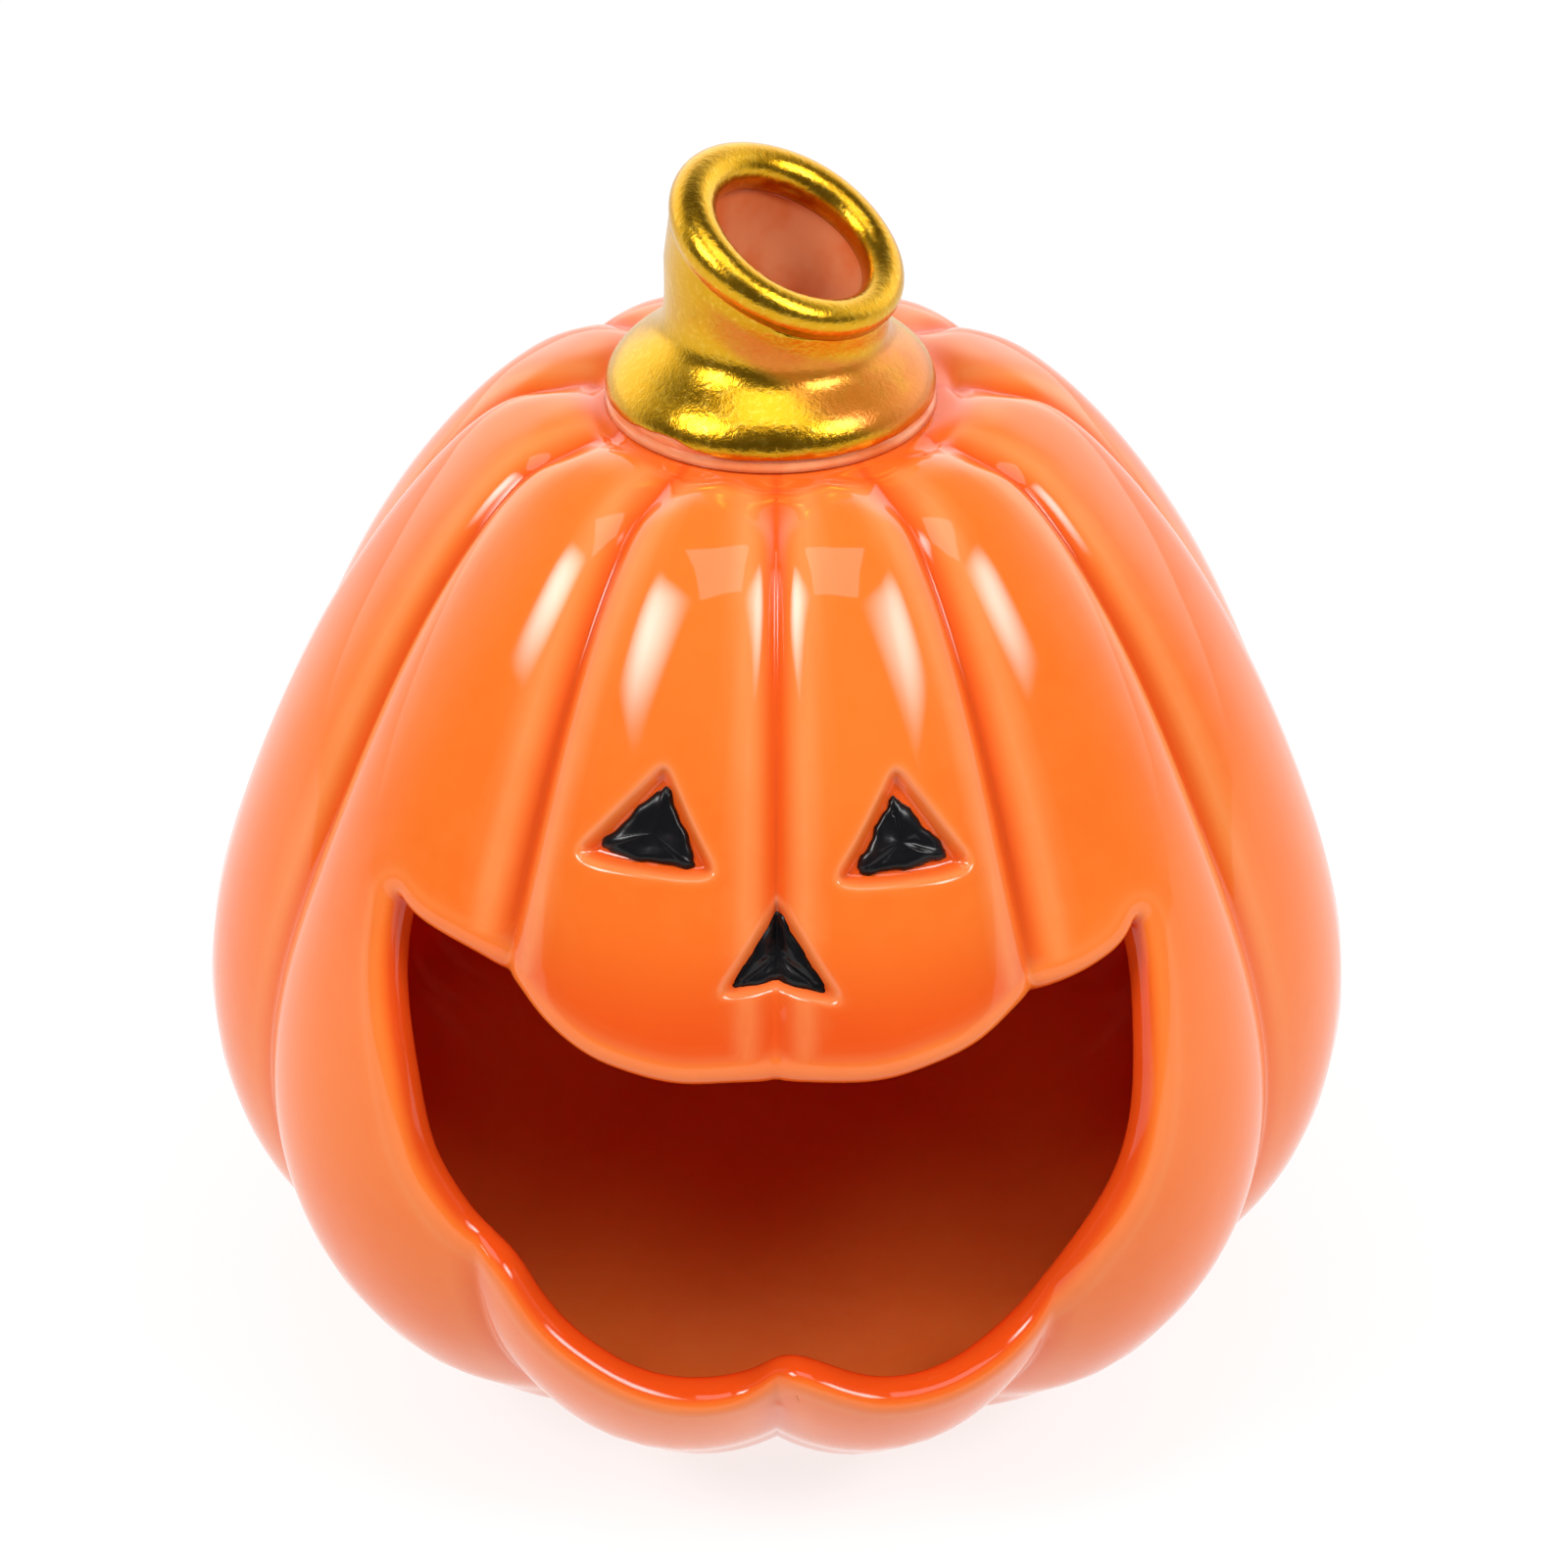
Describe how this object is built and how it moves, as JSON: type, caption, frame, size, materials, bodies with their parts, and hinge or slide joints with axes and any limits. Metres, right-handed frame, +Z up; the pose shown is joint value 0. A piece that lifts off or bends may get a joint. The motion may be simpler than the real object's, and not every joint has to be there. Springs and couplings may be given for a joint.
{
  "type": "ceramic pumpkin tealight holder",
  "caption": "Hollow glazed ceramic pumpkin with a grinning mouth opening, pressed eyes and nose, and a gilded hollow stem; stands on its foot and holds a tealight.",
  "frame": {"origin": "centre of the foot, on the surface that the pumpkin stands on", "axes": "+Z up through the stem, -Y out of the face, +X to the right as one looks at the face"},
  "size_m": [0.1191, 0.1142, 0.1307],
  "materials": {
    "orange_glaze": "gloss glaze",
    "stem_glaze": "gloss glaze",
    "gold": "satin gold fired over the glaze",
    "black_enamel": "gloss enamel"
  },
  "bodies": {
    "root": {"pumpkin_body": "orange_glaze", "stem": "stem_glaze", "stem_gilding": "gold", "left_eye_paint": "black_enamel", "right_eye_paint": "black_enamel", "nose_paint": "black_enamel"}
  },
  "joints": []
}
